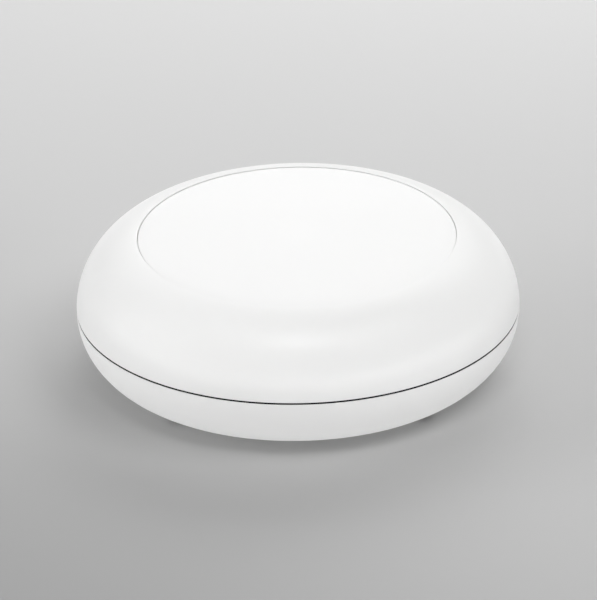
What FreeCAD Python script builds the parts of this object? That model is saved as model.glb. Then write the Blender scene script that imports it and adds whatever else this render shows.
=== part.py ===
"""Round ceiling access point, lying on its back.

The origin is the centre of the back face and +Z runs out through the domed front.  Three things
move: the housing twists off its ceiling bracket about Z, a spring-loaded detent plunger rides a
ramp in the bracket as it does so, and a reset button slides up inside the cable bay.
"""
import FreeCAD
import Part
import Sketcher
import math
import os
from FreeCAD import Vector

DIMENSIONS = [
    # casing
    ("outer_radius", 80.0, "radius of the casing at its widest"),
    ("seam_height", 24.0, "height of the widest point, where the two shells meet"),
    ("seam_gap", 0.7, "gap between the shells, filled by the gasket"),
    ("gasket_recess", 0.15, "how far the gasket stays below the skin"),
    ("shell_wall", 2.5, "wall of both shells"),
    ("flank_radius", 29.0, "arc of the upper flank"),
    ("flank_angle", 57.5, "where the flank arc hands over to the crown arc"),
    ("crown_radius", 20.5, "arc of the shoulder round the disc"),
    ("rim_radius", 57.6, "bore that the front disc drops into"),
    ("ledge_height", 49.0, "top of the ledge the disc rests on"),
    ("ledge_bore", 52.0, "inner radius of that ledge"),
    ("ledge_depth", 2.1, "thickness of the ledge"),
    ("disc_radius", 57.42, "radius of the front disc's visible edge"),
    ("flange_radius", 57.5, "step below that edge, which centres the disc in the bore"),
    ("flange_height", 50.85, "top of that step, the floor of the fine gap"),
    ("disc_edge", 51.2, "height of the disc's edge"),
    ("disc_crest", 53.6, "height of the middle of the disc"),
    ("disc_wall", 2.2, "thickness of the disc"),
    ("hook_radius", 50.5, "circle of the disc's snap hooks"),
    ("post_circle", 62.0, "circle radius of the screw posts"),
    ("post_radius", 3.8, "screw posts of the cover"),
    ("boss_radius", 4.4, "screw bosses of the base"),
    ("boss_bore", 1.5, "clearance hole for a case screw"),
    ("screw_pocket", 3.3, "counterbore for a case screw's head"),
    ("screw_seat", 9.0, "height of the seat in that counterbore"),
    ("case_screw_r", 1.25, "shank of a case screw"),
    # back of the base
    ("recess_radius", 50.0, "recess that hides the bracket"),
    ("recess_floor", 5.6, "depth of the recess"),
    ("floor_wall", 2.2, "thickness of the recess floor"),
    ("bay_west", -26.0, "cable bay, wall opposite the sockets"),
    ("bay_east", 8.0, "cable bay, wall that the sockets face out of"),
    ("bay_half", 21.0, "half width of the cable bay"),
    ("bay_roof", 17.2, "underside of the cable bay's roof"),
    ("bay_wall", 2.0, "walls of the cable bay"),
    # bracket
    ("bracket_radius", 48.0, "ceiling bracket"),
    ("bracket_height", 5.0, "thickness of the bracket"),
    ("cable_hole", 24.0, "radius of the hole for the cables"),
    ("fixing_circle", 35.0, "circle radius of the ceiling screws"),
    ("fixing_hole", 2.25, "radius of a ceiling screw hole"),
    ("fixing_pocket", 4.2, "radius of a screw head's pocket"),
    ("pocket_floor", 2.6, "height of the pockets' floors"),
    ("stud_circle", 41.0, "circle radius of the bayonet studs"),
    ("stud_count", 4, "bayonet studs"),
    ("twist_angle", 18.0, "turn that frees the housing"),
    ("stud_shank", 2.0, "radius of a stud's neck"),
    ("stud_head", 3.6, "radius of a stud's head"),
    # detent
    ("detent_circle", 43.0, "radius at which the plunger stands"),
    ("detent_tip", 3.4, "height of the plunger's tip at rest"),
    ("detent_lift", 1.5, "how far the ramp lifts the plunger"),
    ("plunger_radius", 1.5, "plunger's shank"),
    ("running_gap", 0.08, "radial clearance of sliding fits"),
    # board
    ("board_radius", 57.0, "main board"),
    ("board_height", 21.5, "underside of the main board"),
    ("board_thick", 1.6, "thickness of the main board"),
    ("standoff_circle", 50.0, "circle radius of the board's fixings"),
    ("plate_radius", 55.0, "antenna ground plate"),
    ("plate_height", 37.0, "underside of the antenna plate"),
    ("plate_thick", 0.8, "thickness of the antenna plate"),
    ("jack_pitch", 21.0, "distance between the two network sockets"),
    ("jack_length", 21.0, "depth of a network socket"),
    ("jack_width", 15.5, "width of a network socket's body"),
    ("jack_foot", 8.2, "lowest face of a network socket's body"),
]

doc = FreeCAD.newDocument("ceiling_access_point")
sheet = doc.addObject("Spreadsheet::Sheet", "Dims")
sheet.Label = "Dims"
for row, (alias, value, note) in enumerate(DIMENSIONS, start=1):
    sheet.set("A%d" % row, note)
    sheet.set("B%d" % row, repr(value))
    sheet.setAlias("B%d" % row, alias)
doc.recompute()

# nodes to be written, in the order they are made
parts = []


def dim(alias):
    """A driving dimension, read back from the sheet."""
    return float(sheet.get(alias))


# --------------------------------------------------------------------------- shape helpers

def polar(radius, degrees, z=0.0):
    """Point at a radius and an angle round the Z axis."""
    angle = math.radians(degrees)
    return Vector(radius * math.cos(angle), radius * math.sin(angle), z)


def rod(radius, low, high, at=(0.0, 0.0)):
    """Upright cylinder between two heights."""
    return Part.makeCylinder(radius, high - low, Vector(at[0], at[1], low))


def tube(outer, inner, low, high, at=(0.0, 0.0)):
    """Upright tube between two heights."""
    return rod(outer, low, high, at).cut(rod(inner, low - 1.0, high + 1.0, at))


def block(x, y, z):
    """Box from three (low, high) pairs."""
    size = Vector(x[1] - x[0], y[1] - y[0], z[1] - z[0])
    return Part.makeBox(size.x, size.y, size.z, Vector(x[0], y[0], z[0]))


def slab(centre, size, low):
    """Box on a centre in plan, with its size and the height of its foot."""
    half_x = size[0] / 2.0
    half_y = size[1] / 2.0
    return block((centre[0] - half_x, centre[0] + half_x),
                 (centre[1] - half_y, centre[1] + half_y),
                 (low, low + size[2]))


def turned(shape, degrees):
    """Copy of a shape turned about the Z axis."""
    copy = shape.copy()
    copy.rotate(Vector(0, 0, 0), Vector(0, 0, 1), degrees)
    return copy


def ring_of(shape, count, start=0.0):
    """Copies of a shape evenly round the Z axis."""
    return [turned(shape, start + 360.0 * index / count) for index in range(count)]


def joined(first, others):
    """One solid out of several that overlap."""
    return first.fuse(list(others)).removeSplitter()


def arc_edge(centre, first, last):
    """Arc in the XZ plane round a centre, the short way from first to last, as (r, z) points."""
    radius = math.hypot(first[0] - centre[0], first[1] - centre[1])
    start = math.atan2(first[1] - centre[1], first[0] - centre[0])
    sweep = math.atan2(last[1] - centre[1], last[0] - centre[0]) - start
    sweep = (sweep + math.pi) % (2.0 * math.pi) - math.pi
    middle = start + sweep / 2.0
    via = (centre[0] + radius * math.cos(middle), centre[1] + radius * math.sin(middle))
    points = [Vector(p[0], 0.0, p[1]) for p in (first, via, last)]
    return Part.Arc(*points).toShape()


def lathe(start, *steps):
    """Solid of revolution.  A step is an (r, z) point, or ((centre), (end)) for an arc."""
    edges = []
    here = start
    for step in steps + (start,):
        if isinstance(step[0], tuple):
            centre, there = step
            edges.append(arc_edge(centre, here, there))
        else:
            there = step
            edges.append(Part.makeLine(Vector(here[0], 0.0, here[1]),
                                       Vector(there[0], 0.0, there[1])))
        here = there
    face = Part.Face(Part.Wire(edges))
    solid = face.revolve(Vector(0, 0, 0), Vector(0, 0, 1), 360)
    return solid if solid.Volume > 0 else solid.reversed()


def arc_slot(radius, half_width, first, last, low, high):
    """Round-ended slot that follows a circle from one angle to another."""
    middle = (first + last) / 2.0
    outer = radius + half_width
    inner = radius - half_width
    start_tip = polar(radius, first) + polar(half_width, first - 90.0)
    end_tip = polar(radius, last) + polar(half_width, last + 90.0)
    edges = [
        Part.Arc(polar(outer, first), polar(outer, middle), polar(outer, last)).toShape(),
        Part.Arc(polar(outer, last), end_tip, polar(inner, last)).toShape(),
        Part.Arc(polar(inner, last), polar(inner, middle), polar(inner, first)).toShape(),
        Part.Arc(polar(inner, first), start_tip, polar(outer, first)).toShape(),
    ]
    solid = Part.Face(Part.Wire(edges)).extrude(Vector(0, 0, high - low))
    solid.translate(Vector(0, 0, low))
    return solid


def wire_sweep(path, radius):
    """Round wire along a path of edges, first edge starting straight up or along an axis."""
    spine = Part.Wire(path)
    first = spine.Edges[0]
    start = first.valueAt(first.FirstParameter)
    heading = first.tangentAt(first.FirstParameter)
    profile = Part.Wire(Part.makeCircle(radius, start, heading))
    return spine.makePipeShell([profile], True, True)


# --------------------------------------------------------------------------- document helpers

def add_feature(label, shape):
    """Put a finished shape in the document as the node of that name."""
    feature = doc.addObject("Part::Feature", label)
    feature.Label = label
    feature.Shape = shape
    parts.append(feature)
    return feature


def add_group(label, solids):
    """Several separate solids as one node."""
    return add_feature(label, Part.makeCompound(list(solids)))


def origin_plane(body, role):
    """One of a body's own origin planes."""
    return [item for item in body.Origin.OriginFeatures if item.Role == role][0]


def flat_sketch(body, label, height):
    """Sketch on the body's XY plane, lifted to a height given as an expression."""
    sketch = body.newObject("Sketcher::SketchObject", label)
    sketch.AttachmentSupport = [(origin_plane(body, "XY_Plane"), "")]
    sketch.MapMode = "FlatFace"
    sketch.setExpression("AttachmentOffset.Base.z", height)
    return sketch


def circle_in(sketch, radius, x="0", y="0"):
    """Circle with its radius and centre tied to the sheet."""
    index = sketch.addGeometry(Part.Circle(Vector(1, 1, 0), Vector(0, 0, 1), 5.0), False)
    placed = [
        (Sketcher.Constraint("DistanceX", -1, 1, index, 3, 1.0), x),
        (Sketcher.Constraint("DistanceY", -1, 1, index, 3, 1.0), y),
        (Sketcher.Constraint("Radius", index, 5.0), radius),
    ]
    for constraint, value in placed:
        number = sketch.addConstraint(constraint)
        sketch.setExpression("Constraints[%d]" % number, value)


def round_plate(label, radius, foot, thickness, holes):
    """PartDesign disc with round holes, each hole being (radius, x, y) expressions."""
    body = doc.addObject("PartDesign::Body", label)
    body.Label = label
    outline = flat_sketch(body, label + "_outline", foot)
    circle_in(outline, radius)
    pad = body.newObject("PartDesign::Pad", label + "_pad")
    pad.Profile = outline
    pad.setExpression("Length", thickness)
    doc.recompute()
    whole = pad.Shape.Volume
    drill = flat_sketch(body, label + "_holes", foot)
    for hole in holes:
        circle_in(drill, *hole)
    pocket = body.newObject("PartDesign::Pocket", label + "_pocket")
    pocket.Profile = drill
    pocket.Type = 1
    pocket.Midplane = True
    doc.recompute()
    assert pocket.Shape.Volume < whole - 1.0, label + " holes were not cut"
    parts.append(body)
    return body


QUARTERS = (45.0, 135.0, 225.0, 315.0)
SIDES = (0.0, 90.0, 180.0, 270.0)


# --------------------------------------------------------------------------- casing

def belly_centre():
    """Centre of the lower shell's arc."""
    return (dim("outer_radius") - dim("seam_height"), dim("seam_height"))


def flank_centre():
    """Centre of the upper flank's arc."""
    return (dim("outer_radius") - dim("flank_radius"), dim("seam_height"))


def crown_centre():
    """Centre of the shoulder's arc, tangent to the flank."""
    step = dim("flank_radius") - dim("crown_radius")
    angle = math.radians(dim("flank_angle"))
    return (flank_centre()[0] + step * math.cos(angle),
            flank_centre()[1] + step * math.sin(angle))


def on_arc(centre, radius, r=None, z=None):
    """Point of an arc at a given radius from the axis (upper half) or height (outer half)."""
    if r is not None:
        return (r, centre[1] + math.sqrt(radius ** 2 - (r - centre[0]) ** 2))
    return (centre[0] + math.sqrt(radius ** 2 - (z - centre[1]) ** 2), z)


def cover_solid(inset):
    """Filled dome of the cover, its skin moved inwards by inset."""
    angle = math.radians(dim("flank_angle"))
    flank = dim("flank_radius") - inset
    crown = dim("crown_radius") - inset
    low = dim("seam_height") + dim("seam_gap") / 2.0
    joint = (crown_centre()[0] + crown * math.cos(angle),
             crown_centre()[1] + crown * math.sin(angle))
    start = on_arc(flank_centre(), flank, z=low)
    top = on_arc(crown_centre(), crown, r=dim("rim_radius"))
    return lathe(start, (flank_centre(), joint), (crown_centre(), top), (0.0, top[1]), (0.0, low))


def make_top_cover():
    """White ring shell with a stepped rim for the disc and four hollow screw posts."""
    rim = dim("rim_radius")
    ledge = dim("ledge_height")
    under = ledge - dim("ledge_depth")
    low = dim("seam_height") + dim("seam_gap") / 2.0
    angle = math.radians(dim("flank_angle"))
    flank_in = dim("flank_radius") - dim("shell_wall")
    crown_in = dim("crown_radius") - dim("shell_wall")
    joint_out = (crown_centre()[0] + dim("crown_radius") * math.cos(angle),
                 crown_centre()[1] + dim("crown_radius") * math.sin(angle))
    joint_in = (crown_centre()[0] + crown_in * math.cos(angle),
                crown_centre()[1] + crown_in * math.sin(angle))
    neck = rim + 2.2
    shell = lathe(
        on_arc(flank_centre(), dim("flank_radius"), z=low),
        (flank_centre(), joint_out),
        (crown_centre(), on_arc(crown_centre(), dim("crown_radius"), r=rim)),
        (rim, ledge),
        (dim("ledge_bore"), ledge),
        (dim("ledge_bore"), under),
        (neck, under),
        on_arc(crown_centre(), crown_in, r=neck),
        (crown_centre(), joint_in),
        (flank_centre(), on_arc(flank_centre(), flank_in, z=low)),
    )
    round_over = [edge for edge in shell.Edges
                  if len(edge.Vertexes) == 1 and edge.BoundBox.ZLength < 0.01
                  and edge.BoundBox.ZMin > ledge + 1.0]
    if round_over:
        shell = shell.makeFillet(0.35, round_over)
    circle = dim("post_circle")
    top = ledge - 0.8
    post = rod(dim("post_radius"), low, top, (circle, 0.0))
    rib = block((circle, circle + 16.0), (-0.8, 0.8), (low + 8.0, top)).common(cover_solid(1.0))
    bore = rod(dim("case_screw_r") + 0.05, low - 1.0, top - 8.0, (circle, 0.0))
    posts = ring_of(post, 4, QUARTERS[0]) + ring_of(rib, 4, QUARTERS[0])
    shell = joined(shell, posts)
    return add_feature("top_cover", shell.cut(ring_of(bore, 4, QUARTERS[0])))


def disc_top(radius, drop=0.0):
    """Point of the disc's dome, or of the same dome moved inwards."""
    rise = dim("disc_crest") - dim("disc_edge")
    ball = (dim("disc_radius") ** 2 + rise ** 2) / (2.0 * rise)
    centre = (0.0, dim("disc_crest") - ball)
    return centre, on_arc(centre, ball - drop, r=radius)


def make_front_disc():
    """Gently domed white disc with a stepped edge, a flat seat and six snap hooks below."""
    seat = dim("ledge_height")
    edge = dim("disc_radius")
    step = dim("flange_height")
    centre, crest = disc_top(0.0)
    rim = disc_top(edge)[1]
    below = disc_top(0.0, dim("disc_wall"))[1]
    shoulder = disc_top(dim("ledge_bore") - 0.8, dim("disc_wall"))[1]
    disc = lathe(crest, (centre, rim), (edge, step), (dim("flange_radius"), step),
                 (dim("flange_radius"), seat), (dim("ledge_bore") - 0.8, seat),
                 shoulder, (centre, below))
    sharp = [line for line in disc.Edges
             if len(line.Vertexes) == 1 and line.BoundBox.ZLength < 0.01
             and line.BoundBox.ZMin > step + 0.2 and line.BoundBox.XMax > edge - 1.0]
    disc = disc.makeFillet(0.25, sharp)
    reach = dim("hook_radius")
    arm = block((reach - 0.9, reach + 0.6), (-3.5, 3.5), (seat - 3.7, seat + 1.0))
    barb_low = Vector(reach + 0.6, 0.0, seat - 3.7)
    barb = Part.makePolygon([barb_low, barb_low + Vector(2.0, 0, 1.3),
                             barb_low + Vector(0, 0, 1.3), barb_low])
    barb = Part.Face(barb).extrude(Vector(0, 7.0, 0))
    barb.translate(Vector(0, -3.5, 0))
    hooks = ring_of(joined(arm, [barb]), 6, 15.0)
    return add_feature("front_disc", joined(disc, hooks))


def make_base_shell():
    """White lower shell: rounded belly, bracket recess, cable bay, bosses and detent tower."""
    centre = belly_centre()
    belly = dim("seam_height")
    inner = belly - dim("shell_wall")
    top = dim("seam_height") - dim("seam_gap") / 2.0
    flat = centre[0]
    floor_low = dim("recess_floor")
    floor_top = floor_low + dim("floor_wall")
    lip = dim("outer_radius") - 3.1
    shell = lathe(
        (dim("recess_radius"), 0.0),
        (flat, 0.0),
        (centre, on_arc(centre, belly, z=top)),
        (lip, top),
        (lip, top + 2.6),
        (lip - 1.5, top + 2.6),
        (lip - 1.5, top - 3.2),
        on_arc(centre, inner, z=top - 4.8),
        (centre, (flat, dim("shell_wall"))),
        (dim("recess_radius") + dim("shell_wall"), dim("shell_wall")),
        (dim("recess_radius") + dim("shell_wall"), floor_top),
        (0.0, floor_top),
        (0.0, floor_low),
        (dim("recess_radius"), floor_low),
    )
    wall = dim("bay_wall")
    west = dim("bay_west")
    east = dim("bay_east")
    half = dim("bay_half")
    roof = dim("bay_roof")
    added = [block((west - wall, east + wall), (-half - wall, half + wall),
                   (floor_low, roof + wall))]
    post = rod(dim("boss_radius"), 3.0, top + dim("seam_gap"), (dim("post_circle"), 0.0))
    added += ring_of(post, 4, QUARTERS[0])
    stand = rod(3.4, floor_low + 0.5, dim("board_height"), (dim("standoff_circle"), 0.0))
    web = block((dim("standoff_circle"), dim("post_circle")), (-0.8, 0.8), (3.5, 17.0))
    added += ring_of(stand, 4, QUARTERS[0]) + ring_of(web, 4, QUARTERS[0])
    tower_at = (-dim("detent_circle"), 0.0)
    added.append(rod(4.2, floor_low, 17.0, tower_at))
    for side in SIDES[:1] + SIDES[2:3]:
        added.append(turned(block((52.0, 74.0), (-0.8, 0.8), (1.5, 12.0)), side + 22.0)
                     .common(belly_solid(1.0)))
    shell = joined(shell, added)
    cuts = [block((west, east), (-half, half), (-1.0, roof))]
    pocket = rod(dim("screw_pocket"), -1.0, dim("screw_seat"), (dim("post_circle"), 0.0))
    hole = rod(dim("boss_bore"), -1.0, top + 2.0, (dim("post_circle"), 0.0))
    insert = rod(2.1, dim("board_height") - 7.0, dim("board_height") + 1.0,
                 (dim("standoff_circle"), 0.0))
    cuts += ring_of(pocket, 4, QUARTERS[0]) + ring_of(hole, 4, QUARTERS[0])
    cuts += ring_of(insert, 4, QUARTERS[0])
    cuts += [rod(dim("stud_shank"), 0.0, 12.0, spot) for spot in stud_spots()]
    for side in (-1.0, 1.0):
        middle = side * dim("jack_pitch") / 2.0
        cuts.append(block((east - 1.0, east + wall + 1.0), (middle - 8.2, middle + 8.2),
                          (floor_top, roof + wall + 1.0)))
    cuts.append(block((west - wall - 1.0, west + 0.01), (5.2, 14.8), (10.2, roof + wall + 1.0)))
    cuts.append(rod(1.9 + dim("running_gap"), roof - 1.0, roof + wall + 1.0, RESET_AT))
    cuts.append(rod(dim("plunger_radius") + dim("running_gap"), 0.0, 20.0, tower_at))
    cuts.append(rod(2.6, 9.2, 20.0, tower_at))
    return add_feature("base_shell", shell.cut(cuts))


def belly_solid(inset):
    """Filled lower shell, its skin moved inwards by inset."""
    centre = belly_centre()
    radius = dim("seam_height") - inset
    return lathe((0.0, inset), (centre[0], inset), (centre, (centre[0] + radius, centre[1])),
                 (0.0, centre[1]))


RESET_AT = (-17.0, -12.0)


def make_seam_gasket():
    """Dark rubber ring between the two shells, turned from a sketched section."""
    body = doc.addObject("PartDesign::Body", "seam_gasket")
    body.Label = "seam_gasket"
    sketch = body.newObject("Sketcher::SketchObject", "gasket_section")
    sketch.AttachmentSupport = [(origin_plane(body, "XZ_Plane"), "")]
    sketch.MapMode = "FlatFace"
    inner = "Dims.outer_radius - 2.6"
    outer = "Dims.outer_radius - Dims.gasket_recess"
    low = "Dims.seam_height - Dims.seam_gap / 2"
    high = "Dims.seam_height + Dims.seam_gap / 2"
    corners = [(inner, low), (outer, low), (outer, high), (inner, high)]
    guess = [(77.4, 23.7), (79.8, 23.7), (79.8, 24.3), (77.4, 24.3)]
    for index in range(4):
        first = Vector(*guess[index], 0.0)
        last = Vector(*guess[(index + 1) % 4], 0.0)
        sketch.addGeometry(Part.LineSegment(first, last), False)
    for index in range(4):
        sketch.addConstraint(Sketcher.Constraint("Coincident", index, 2, (index + 1) % 4, 1))
    for index, (across, up) in enumerate(corners):
        number = sketch.addConstraint(
            Sketcher.Constraint("DistanceX", -1, 1, index, 1, guess[index][0]))
        sketch.setExpression("Constraints[%d]" % number, across)
        number = sketch.addConstraint(
            Sketcher.Constraint("DistanceY", -1, 1, index, 1, guess[index][1]))
        sketch.setExpression("Constraints[%d]" % number, up)
    turn = body.newObject("PartDesign::Revolution", "gasket_turn")
    turn.Profile = sketch
    turn.ReferenceAxis = (sketch, ["V_Axis"])
    turn.Angle = 360
    parts.append(body)


def make_case_screws():
    """Four pan-head screws that pull the base up to the cover's posts."""
    seat = dim("screw_seat")
    at = (dim("post_circle"), 0.0)
    head = rod(2.5, seat - 2.0, seat, at)
    drive = rod(1.0, seat - 3.0, seat - 0.9, at)
    shank = rod(dim("case_screw_r"), seat - 0.1, dim("seam_height") + 10.0, at)
    screw = joined(head.cut(drive), [shank])
    add_group("case_screws", ring_of(screw, 4, QUARTERS[0]))


# --------------------------------------------------------------------------- bracket and latch

def stud_spots():
    """Where the studs stand at rest: half the twist before each diagonal."""
    spots = []
    for angle in QUARTERS:
        spot = polar(dim("stud_circle"), angle - dim("twist_angle") / 2.0)
        spots.append((spot.x, spot.y))
    return spots


def make_ceiling_bracket():
    """Moulded disc screwed to the ceiling: cable hole, screw holes, bayonet slots, detent ramp."""
    high = dim("bracket_height")
    floor = dim("pocket_floor")
    plate = rod(dim("bracket_radius"), 0.0, high)
    plate = plate.makeChamfer(0.6, [edge for edge in plate.Edges
                                    if len(edge.Vertexes) == 1 and edge.BoundBox.ZMin > 1.0])
    cuts = [rod(dim("cable_hole"), -1.0, high + 1.0)]
    fixing = dim("fixing_circle")
    cuts += ring_of(rod(dim("fixing_hole"), -1.0, high + 1.0, (fixing, 0.0)), 4)
    cuts += ring_of(rod(dim("fixing_pocket"), floor, high + 1.0, (fixing, 0.0)), 4)
    half = dim("twist_angle") / 2.0
    ring = dim("stud_circle")
    neck = dim("stud_shank") + 0.35
    head = dim("stud_head") + 0.5
    slot = arc_slot(ring, neck, -half, half, -1.0, high + 1.0)
    pocket = arc_slot(ring, head, -half, half, -1.0, floor)
    entry = turned(rod(head, -1.0, high + 1.0, (ring, 0.0)), half)
    for shape in (slot, pocket, entry):
        cuts += ring_of(shape, 4, QUARTERS[0])
    tie = block((26.5, 28.5), (-4.0, 4.0), (-1.0, high + 1.0))
    cuts += ring_of(tie, 2, 22.0) + ring_of(tie, 2, -22.0)
    relief = arc_slot(41.5, 2.6, -7.0, 7.0, floor - 0.6, high + 1.0)
    cuts += [turned(relief, 0.0), turned(relief, 90.0), turned(relief, 270.0)]
    cuts.append(detent_ramp())
    add_feature("ceiling_bracket", plate.cut(cuts))


def detent_ramp():
    """Curved groove whose floor climbs as the housing turns."""
    circle = dim("detent_circle")
    twist = dim("twist_angle")
    run = circle * math.radians(twist)
    slope = math.degrees(math.atan(dim("detent_lift") / run))
    groove = arc_slot(circle, dim("plunger_radius") + 0.4, 180.0, 180.0 + twist,
                      1.0, dim("bracket_height") + 1.0)
    above = block((-12.0, 12.0), (-16.0, 16.0), (0.0, 12.0))
    above.rotate(Vector(0, 0, 0), Vector(1, 0, 0), slope)
    above.translate(Vector(circle, 0, dim("detent_tip") - 0.15 + dim("detent_lift") / 2.0))
    return groove.common(turned(above, 180.0 + twist / 2.0))


def make_bayonet_studs():
    """Four shouldered metal studs pressed through the recess floor, each with a round nut."""
    studs = []
    nuts = []
    floor_low = dim("recess_floor")
    floor_top = floor_low + dim("floor_wall")
    for spot in stud_spots():
        head = rod(dim("stud_head"), 0.7, 2.2, spot)
        shank = rod(dim("stud_shank"), 2.0, floor_top + 2.6, spot)
        studs.append(joined(head, [shank]))
        nuts.append(tube(3.2, dim("stud_shank"), floor_top, floor_top + 1.8, spot))
    add_group("bayonet_studs", studs)
    add_group("stud_nuts", nuts)


def coil_spring(foot, coil, wire, pitch, turns):
    """Coil spring as a ruled loft through eight-sided sections of the wire's own area."""
    sections = []
    steps = turns * 12
    reach = wire * math.sqrt(math.pi / (2.0 * math.sqrt(2.0)))
    for step in range(steps + 1):
        turn = 360.0 * turns * step / steps
        outward = polar(1.0, turn)
        along = polar(coil, turn + 90.0, pitch / (2.0 * math.pi)).normalize()
        upward = along.cross(outward)
        centre = foot + outward * coil + Vector(0, 0, pitch * turn / 360.0)
        ring = []
        for side in range(9):
            angle = math.radians(45.0 * side)
            offset = outward * (reach * math.cos(angle)) + upward * (reach * math.sin(angle))
            ring.append(centre + offset)
        sections.append(Part.makePolygon(ring))
    return Part.makeLoft(sections, True, True)


def make_detent():
    """Round-nosed plunger, its coil spring and the plug that closes the tower."""
    at = (-dim("detent_circle"), 0.0)
    radius = dim("plunger_radius")
    tip = dim("detent_tip")
    nose = Part.makeSphere(radius, Vector(at[0], at[1], tip + radius))
    shank = rod(radius, tip + radius, 10.5, at)
    collar = rod(2.45, 9.3, 10.3, at)
    spigot = rod(1.1, 10.0, 11.4, at)
    add_feature("detent_plunger", joined(nose, [shank, collar, spigot]))
    spring = coil_spring(Vector(at[0], at[1], 10.75), 1.8, 0.25, 0.95, 4)
    add_feature("detent_spring", spring)
    cap = rod(2.6, 15.0, 17.0, at).cut(block((at[0] - 3, at[0] + 3), (-0.4, 0.4), (16.2, 18.0)))
    add_feature("detent_cap", cap)


def make_reset():
    """Reset button through the bay's roof, and the tact switch it presses under the board."""
    roof = dim("bay_roof")
    wall = dim("bay_wall")
    board = dim("board_height")
    key = rod(1.9, roof - 1.6, roof + wall + 0.2, RESET_AT)
    flange = rod(2.9, roof + wall + 0.1, roof + wall + 0.6, RESET_AT)
    key = joined(key, [flange])
    key = key.cut(Part.makeSphere(2.6, Vector(RESET_AT[0], RESET_AT[1], roof - 3.8)))
    add_feature("reset_button", key)
    stem_low = roof + wall + 0.6
    add_feature("switch_stem", rod(1.0, stem_low, stem_low + 1.1, RESET_AT))
    case = slab(RESET_AT, (4.6, 4.6, 1.2), board - 1.2)
    legs = [slab((RESET_AT[0] + dx, RESET_AT[1] + dy), (0.8, 0.6, 0.2), board - 0.2)
            for dx in (-2.7, 2.7) for dy in (-1.4, 1.4)]
    case = joined(case, legs).cut(rod(1.15, board - 2.0, board - 0.05, RESET_AT))
    add_feature("reset_switch", case)


def make_rating_label():
    """Thin blank label on the recess floor, under the bracket."""
    low = dim("recess_floor") - 0.12
    add_feature("rating_label", block((13.0, 39.0), (-12.0, 12.0), (low, dim("recess_floor"))))


# --------------------------------------------------------------------------- sockets

def make_network_jack(prefix, middle):
    """Shielded eight-way socket hanging under the board, with its mouth facing -X."""
    front = dim("bay_east") + 0.6
    back = front + dim("jack_length")
    half = dim("jack_width") / 2.0
    foot = dim("jack_foot")
    board = dim("board_height")
    body = block((front, back), (middle - half, middle + half), (foot, board - 0.2))
    mouth = block((front - 1, back - 4.0), (middle - 5.9, middle + 5.9), (foot + 2.0, foot + 8.8))
    latch = block((front - 1, back - 6.0), (middle - 3.1, middle + 3.1), (foot + 0.5, foot + 2.1))
    add_feature(prefix + "_jack_body", body.cut([mouth, latch]))
    outer = block((front, back + 0.25), (middle - half - 0.25, middle + half + 0.25),
                  (foot - 0.25, board))
    hollow = block((front - 1, back), (middle - half, middle + half), (foot, board + 1.0))
    window = block((front - 1, front + 0.5), (middle - 3.3, middle + 3.3), (foot - 1, foot + 0.5))
    add_feature(prefix + "_jack_shield", outer.cut([hollow, window]))
    wires = []
    for index in range(8):
        across = middle + (index - 3.5) * 1.02
        wire = block((0.0, 13.0), (-0.2, 0.2), (-0.3, 0.0))
        wire.rotate(Vector(0, 0, 0), Vector(0, 1, 0), 7.0)
        wire.translate(Vector(front + 1.2, across, foot + 8.75))
        foot_wire = block((front + 0.9, front + 2.0), (across - 0.2, across + 0.2),
                          (foot + 8.4, foot + 8.8))
        wires.append(joined(wire, [foot_wire]))
    add_group(prefix + "_jack_contacts", wires)


def make_dc_jack():
    """Barrel power socket on the other side of the bay, mouth facing +X."""
    mouth_x = dim("bay_west") - 0.4
    y, z = 10.0, 15.0
    case = block((mouth_x - 14.0, mouth_x), (5.5, 14.5), (10.5, dim("board_height")))
    bore = Part.makeCylinder(2.9, 10.5, Vector(mouth_x + 0.5, y, z), Vector(-1, 0, 0))
    pin_hole = Part.makeCylinder(1.05, 3.0, Vector(mouth_x - 9.0, y, z), Vector(-1, 0, 0))
    add_feature("dc_jack", case.cut([bore, pin_hole]))
    pin = Part.makeCylinder(1.05, 9.5, Vector(mouth_x - 2.0, y, z), Vector(-1, 0, 0))
    add_feature("dc_jack_pin", pin)


# --------------------------------------------------------------------------- board

def make_main_board():
    """Round green board with clearance for its fixings and the sink's screws."""
    diagonal = dim("standoff_circle") / math.sqrt(2.0)
    fixing = "Dims.standoff_circle * %r" % (1.0 / math.sqrt(2.0))
    holes = [("1.4", "%s * %d" % (fixing, sx), "%s * %d" % (fixing, sy))
             for sx in (-1, 1) for sy in (-1, 1)]
    assert diagonal < dim("board_radius")
    for x, y in SINK_FIXINGS:
        holes.append(("1.1", repr(x), repr(y)))
    round_plate("main_board", "Dims.board_radius", "Dims.board_height", "Dims.board_thick", holes)


SINK_FIXINGS = ((-34.0, -29.0), (-34.0, 25.0), (19.0, -29.0), (19.0, 25.0))
CANS = ((-20.5, -18.0), (-20.5, 14.0))
CAN_SIZE = (24.0, 21.0)


def deck():
    """Top face of the board."""
    return dim("board_height") + dim("board_thick")


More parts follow.
